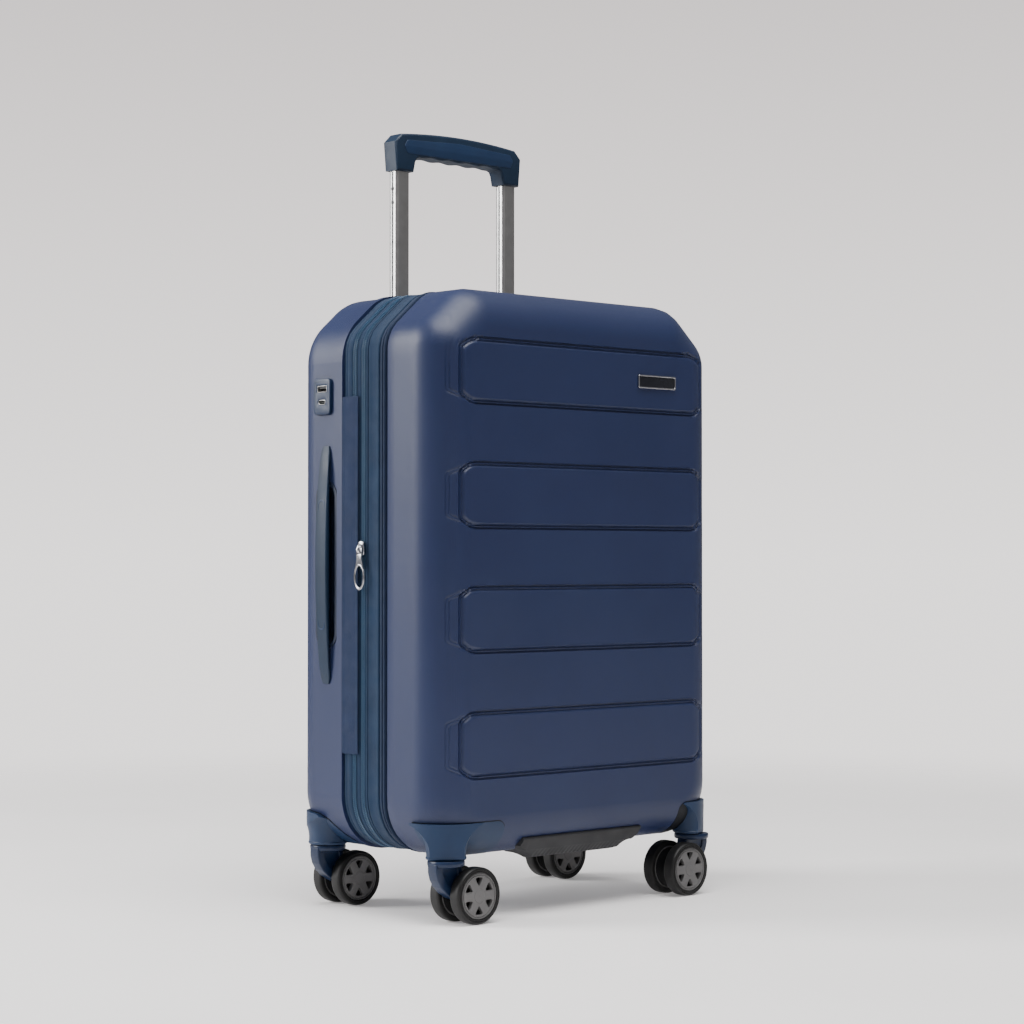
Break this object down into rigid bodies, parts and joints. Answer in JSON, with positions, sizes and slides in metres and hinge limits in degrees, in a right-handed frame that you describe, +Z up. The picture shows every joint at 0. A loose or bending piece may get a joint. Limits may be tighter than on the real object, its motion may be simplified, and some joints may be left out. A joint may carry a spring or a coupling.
{
  "type": "cabin suitcase",
  "caption": "Upright hard shell cabin suitcase with spinner casters, zip round the middle, an expansion zip, carry handles and a telescopic pull handle.",
  "frame": {"origin": "on the floor under the middle of the case", "axes": "+Z up, -Y towards the panelled front, +Y towards the telescopic handle, -X the side with the hinge and the charging port"},
  "size_m": [0.3674, 0.203, 0.7248],
  "materials": {
    "shell": "matte with a fine moulded cross-hatch grain",
    "guard": "satin moulded plastic",
    "pocket": "matte moulded plastic",
    "tube": "bright drawn, satin front face",
    "port_housing": "satin",
    "port_metal": "plain",
    "zip_tape": "woven polyester tape with moulded coil",
    "gusset": "plain weave polyester",
    "binding": "bound edge with piping",
    "lining": "thin jacquard lining",
    "webbing": "ribbed webbing",
    "badge": "polished frame, dark centre",
    "grip_pad": "matte",
    "soft_grip": "soft touch",
    "button": "satin",
    "spring": "plain wire",
    "zip_metal": "nickel plated",
    "fork": "satin",
    "tyre": "polyurethane",
    "hub": "satin"
  },
  "bodies": {
    "back_case": {"back_shell": "shell", "rear_left_guard": "guard", "rear_right_guard": "guard", "handle_pocket": "pocket", "side_handle_cup": "pocket", "top_handle_cup": "pocket", "outer_tubes": "tube", "tube_brackets": "pocket", "usb_housing": "port_housing", "usb_sockets": "port_metal", "main_zip_rear": "zip_tape", "hinge_cloth_rear": "zip_tape", "back_lining": "lining", "packing_straps": "webbing"},
    "lid_frame": {"zip_band": "zip_tape", "hinge_cloth_front": "zip_tape", "expansion_gusset": "gusset"},
    "front_case": {"front_shell": "shell", "front_left_guard": "guard", "front_right_guard": "guard", "expansion_band": "zip_tape", "front_binding": "binding", "badge": "badge", "bottom_grip": "grip_pad", "front_lining": "lining"},
    "side_carry_handle": {"side_handle": "soft_grip"},
    "top_carry_handle": {"top_handle": "soft_grip"},
    "handle_middle_stage": {"middle_tubes": "tube"},
    "handle_top_stage": {"inner_tubes": "tube", "grip": "soft_grip", "button_spring": "spring"},
    "grip_push_button": {"grip_button": "button"},
    "left_zip_slider": {"main_slider_left": "zip_metal"},
    "left_zip_pull": {"main_pull_left": "zip_metal"},
    "right_zip_slider": {"main_slider_right": "zip_metal"},
    "right_zip_pull": {"main_pull_right": "zip_metal"},
    "expansion_zip_slider": {"expansion_slider": "zip_metal"},
    "expansion_zip_pull": {"expansion_pull": "zip_metal"},
    "front_left_caster": {"front_left_fork": "fork"},
    "front_left_wheel_1": {"front_left_tyre_1": "tyre", "front_left_hub_1": "hub"},
    "front_left_wheel_2": {"front_left_tyre_2": "tyre", "front_left_hub_2": "hub"},
    "front_right_caster": {"front_right_fork": "fork"},
    "front_right_wheel_1": {"front_right_tyre_1": "tyre", "front_right_hub_1": "hub"},
    "front_right_wheel_2": {"front_right_tyre_2": "tyre", "front_right_hub_2": "hub"},
    "rear_left_caster": {"rear_left_fork": "fork"},
    "rear_left_wheel_1": {"rear_left_tyre_1": "tyre", "rear_left_hub_1": "hub"},
    "rear_left_wheel_2": {"rear_left_tyre_2": "tyre", "rear_left_hub_2": "hub"},
    "rear_right_caster": {"rear_right_fork": "fork"},
    "rear_right_wheel_1": {"rear_right_tyre_1": "tyre", "rear_right_hub_1": "hub"},
    "rear_right_wheel_2": {"rear_right_tyre_2": "tyre", "rear_right_hub_2": "hub"}
  },
  "joints": [
    {"name": "lid_hinge", "type": "hinge", "parent": "back_case", "child": "lid_frame", "pos_m": [-0.184, 0.01775, 0.3], "axis": [0, 0, -1], "range_deg": [0, 160]},
    {"name": "expansion_slide", "type": "slide", "parent": "lid_frame", "child": "front_case", "axis": [0, -1, 0], "range_m": [0, 0.03]},
    {"name": "side_handle_lift", "type": "slide", "parent": "back_case", "child": "side_carry_handle", "axis": [-1, 0, 0], "range_m": [0, 0.012], "stiffness_N_per_m": 60},
    {"name": "top_handle_lift", "type": "slide", "parent": "back_case", "child": "top_carry_handle", "axis": [0, 0, 1], "range_m": [0, 0.012], "stiffness_N_per_m": 60},
    {"name": "handle_middle_slide", "type": "slide", "parent": "back_case", "child": "handle_middle_stage", "axis": [0, 0, 1], "range_m": [0, 0.23]},
    {"name": "handle_top_slide", "type": "slide", "parent": "handle_middle_stage", "child": "handle_top_stage", "axis": [0, 0, 1], "range_m": [-0.1645, 0.0655]},
    {"name": "button_press", "type": "slide", "parent": "handle_top_stage", "child": "grip_push_button", "axis": [0, 0, -1], "range_m": [0, 0.0035], "stiffness_N_per_m": 400, "springref_m": -0.001, "deforming": ["button_spring"]},
    {"name": "left_slider_travel", "type": "slide", "parent": "back_case", "child": "left_zip_slider", "axis": [-1, 0, 0], "range_m": [0, 0.1]},
    {"name": "left_pull_flip", "type": "hinge", "parent": "left_zip_slider", "child": "left_zip_pull", "pos_m": [0.008, 0.01775, 0.56185], "axis": [-0.2756, -0.9613, 0], "range_deg": [0, 150]},
    {"name": "right_slider_travel", "type": "slide", "parent": "back_case", "child": "right_zip_slider", "axis": [1, 0, 0], "range_m": [0, 0.065]},
    {"name": "right_pull_flip", "type": "hinge", "parent": "right_zip_slider", "child": "right_zip_pull", "pos_m": [0.047, 0.01775, 0.56185], "axis": [0, -1, 0], "range_deg": [0, 150]},
    {"name": "expansion_slider_travel", "type": "slide", "parent": "lid_frame", "child": "expansion_zip_slider", "axis": [0, 0, 1], "range_m": [-0.18, 0.13]},
    {"name": "expansion_pull_flip", "type": "hinge", "parent": "expansion_zip_slider", "child": "expansion_zip_pull", "pos_m": [-0.18185, 0.0055, 0.327], "axis": [0, 1, 0], "range_deg": [0, 180]},
    {"name": "front_left_swivel", "type": "hinge", "parent": "front_case", "child": "front_left_caster", "pos_m": [-0.156, -0.082, 0.05], "axis": [0, 0, 1], "continuous": true},
    {"name": "front_left_wheel_1_spin", "type": "hinge", "parent": "front_left_caster", "child": "front_left_wheel_1", "pos_m": [-0.134, -0.082, 0.025], "axis": [0, 1, 0], "continuous": true},
    {"name": "front_left_wheel_2_spin", "type": "hinge", "parent": "front_left_caster", "child": "front_left_wheel_2", "pos_m": [-0.134, -0.082, 0.025], "axis": [0, 1, 0], "continuous": true},
    {"name": "front_right_swivel", "type": "hinge", "parent": "front_case", "child": "front_right_caster", "pos_m": [0.156, -0.082, 0.05], "axis": [0, 0, 1], "continuous": true},
    {"name": "front_right_wheel_1_spin", "type": "hinge", "parent": "front_right_caster", "child": "front_right_wheel_1", "pos_m": [0.134, -0.082, 0.025], "axis": [0, 1, 0], "continuous": true},
    {"name": "front_right_wheel_2_spin", "type": "hinge", "parent": "front_right_caster", "child": "front_right_wheel_2", "pos_m": [0.134, -0.082, 0.025], "axis": [0, 1, 0], "continuous": true},
    {"name": "rear_left_swivel", "type": "hinge", "parent": "back_case", "child": "rear_left_caster", "pos_m": [-0.156, 0.082, 0.05], "axis": [0, 0, 1], "continuous": true},
    {"name": "rear_left_wheel_1_spin", "type": "hinge", "parent": "rear_left_caster", "child": "rear_left_wheel_1", "pos_m": [-0.134, 0.082, 0.025], "axis": [0, 1, 0], "continuous": true},
    {"name": "rear_left_wheel_2_spin", "type": "hinge", "parent": "rear_left_caster", "child": "rear_left_wheel_2", "pos_m": [-0.134, 0.082, 0.025], "axis": [0, 1, 0], "continuous": true},
    {"name": "rear_right_swivel", "type": "hinge", "parent": "back_case", "child": "rear_right_caster", "pos_m": [0.156, 0.082, 0.05], "axis": [0, 0, 1], "continuous": true},
    {"name": "rear_right_wheel_1_spin", "type": "hinge", "parent": "rear_right_caster", "child": "rear_right_wheel_1", "pos_m": [0.134, 0.082, 0.025], "axis": [0, 1, 0], "continuous": true},
    {"name": "rear_right_wheel_2_spin", "type": "hinge", "parent": "rear_right_caster", "child": "rear_right_wheel_2", "pos_m": [0.134, 0.082, 0.025], "axis": [0, 1, 0], "continuous": true}
  ]
}
